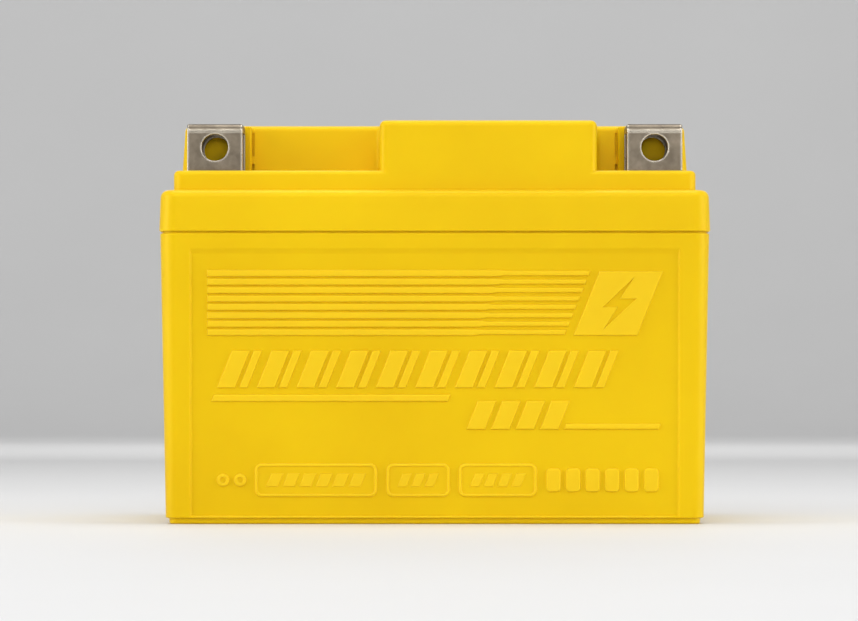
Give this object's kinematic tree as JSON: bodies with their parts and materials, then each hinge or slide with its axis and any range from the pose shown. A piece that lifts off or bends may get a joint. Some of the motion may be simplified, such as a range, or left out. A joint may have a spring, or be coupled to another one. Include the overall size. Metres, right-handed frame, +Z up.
{
  "type": "motorcycle battery",
  "caption": "Sealed 12 V motorcycle battery: yellow ribbed box with a stepped welded lid, box terminals with screw holes in two front bays, and the plate stacks of its cells inside.",
  "frame": {"origin": "centre of the base, on the surface that the battery stands on", "axes": "+X along the length, to the right seen from the terminal side; +Y from the terminal side to the back; +Z up"},
  "size_m": [0.113, 0.07, 0.0828],
  "materials": {
    "case_plastic": "satin moulded, fine texture",
    "terminal_metal": "tin plated, satin",
    "lead": "cast lead, dull",
    "seal_rubber": "matt",
    "positive_paste": "pasted plate, dark brown",
    "negative_paste": "pasted plate, grey",
    "glass_mat": "felted glass fibre"
  },
  "bodies": {
    "battery": {"container": "case_plastic", "lid": "case_plastic", "top_plate": "case_plastic", "positive_terminal": "terminal_metal", "negative_terminal": "terminal_metal", "positive_post": "lead", "negative_post": "lead", "positive_post_seal": "seal_rubber", "negative_post_seal": "seal_rubber", "positive_plates_1": "positive_paste", "negative_plates_1": "negative_paste", "separators_1": "glass_mat", "positive_strap_1": "lead", "negative_strap_1": "lead", "cell_link_1": "lead", "positive_plates_2": "positive_paste", "negative_plates_2": "negative_paste", "separators_2": "glass_mat", "positive_strap_2": "lead", "negative_strap_2": "lead", "cell_link_2": "lead", "positive_plates_3": "positive_paste", "negative_plates_3": "negative_paste", "separators_3": "glass_mat", "positive_strap_3": "lead", "negative_strap_3": "lead", "cell_link_3": "lead", "positive_plates_4": "positive_paste", "negative_plates_4": "negative_paste", "separators_4": "glass_mat", "positive_strap_4": "lead", "negative_strap_4": "lead", "cell_link_4": "lead", "positive_plates_5": "positive_paste", "negative_plates_5": "negative_paste", "separators_5": "glass_mat", "positive_strap_5": "lead", "negative_strap_5": "lead", "cell_link_5": "lead", "positive_plates_6": "positive_paste", "negative_plates_6": "negative_paste", "separators_6": "glass_mat", "positive_strap_6": "lead", "negative_strap_6": "lead"},
    "valve_1": {"valve_cap_1": "seal_rubber"},
    "valve_2": {"valve_cap_2": "seal_rubber"},
    "valve_3": {"valve_cap_3": "seal_rubber"},
    "valve_4": {"valve_cap_4": "seal_rubber"},
    "valve_5": {"valve_cap_5": "seal_rubber"},
    "valve_6": {"valve_cap_6": "seal_rubber"}
  },
  "joints": [
    {"name": "valve_1_lift", "type": "slide", "parent": "battery", "child": "valve_1", "axis": [0, 0, 1], "range_m": [0, 0.0008], "stiffness_N_per_m": 900},
    {"name": "valve_2_lift", "type": "slide", "parent": "battery", "child": "valve_2", "axis": [0, 0, 1], "range_m": [0, 0.0008], "stiffness_N_per_m": 900},
    {"name": "valve_3_lift", "type": "slide", "parent": "battery", "child": "valve_3", "axis": [0, 0, 1], "range_m": [0, 0.0008], "stiffness_N_per_m": 900},
    {"name": "valve_4_lift", "type": "slide", "parent": "battery", "child": "valve_4", "axis": [0, 0, 1], "range_m": [0, 0.0008], "stiffness_N_per_m": 900},
    {"name": "valve_5_lift", "type": "slide", "parent": "battery", "child": "valve_5", "axis": [0, 0, 1], "range_m": [0, 0.0008], "stiffness_N_per_m": 900},
    {"name": "valve_6_lift", "type": "slide", "parent": "battery", "child": "valve_6", "axis": [0, 0, 1], "range_m": [0, 0.0008], "stiffness_N_per_m": 900}
  ]
}
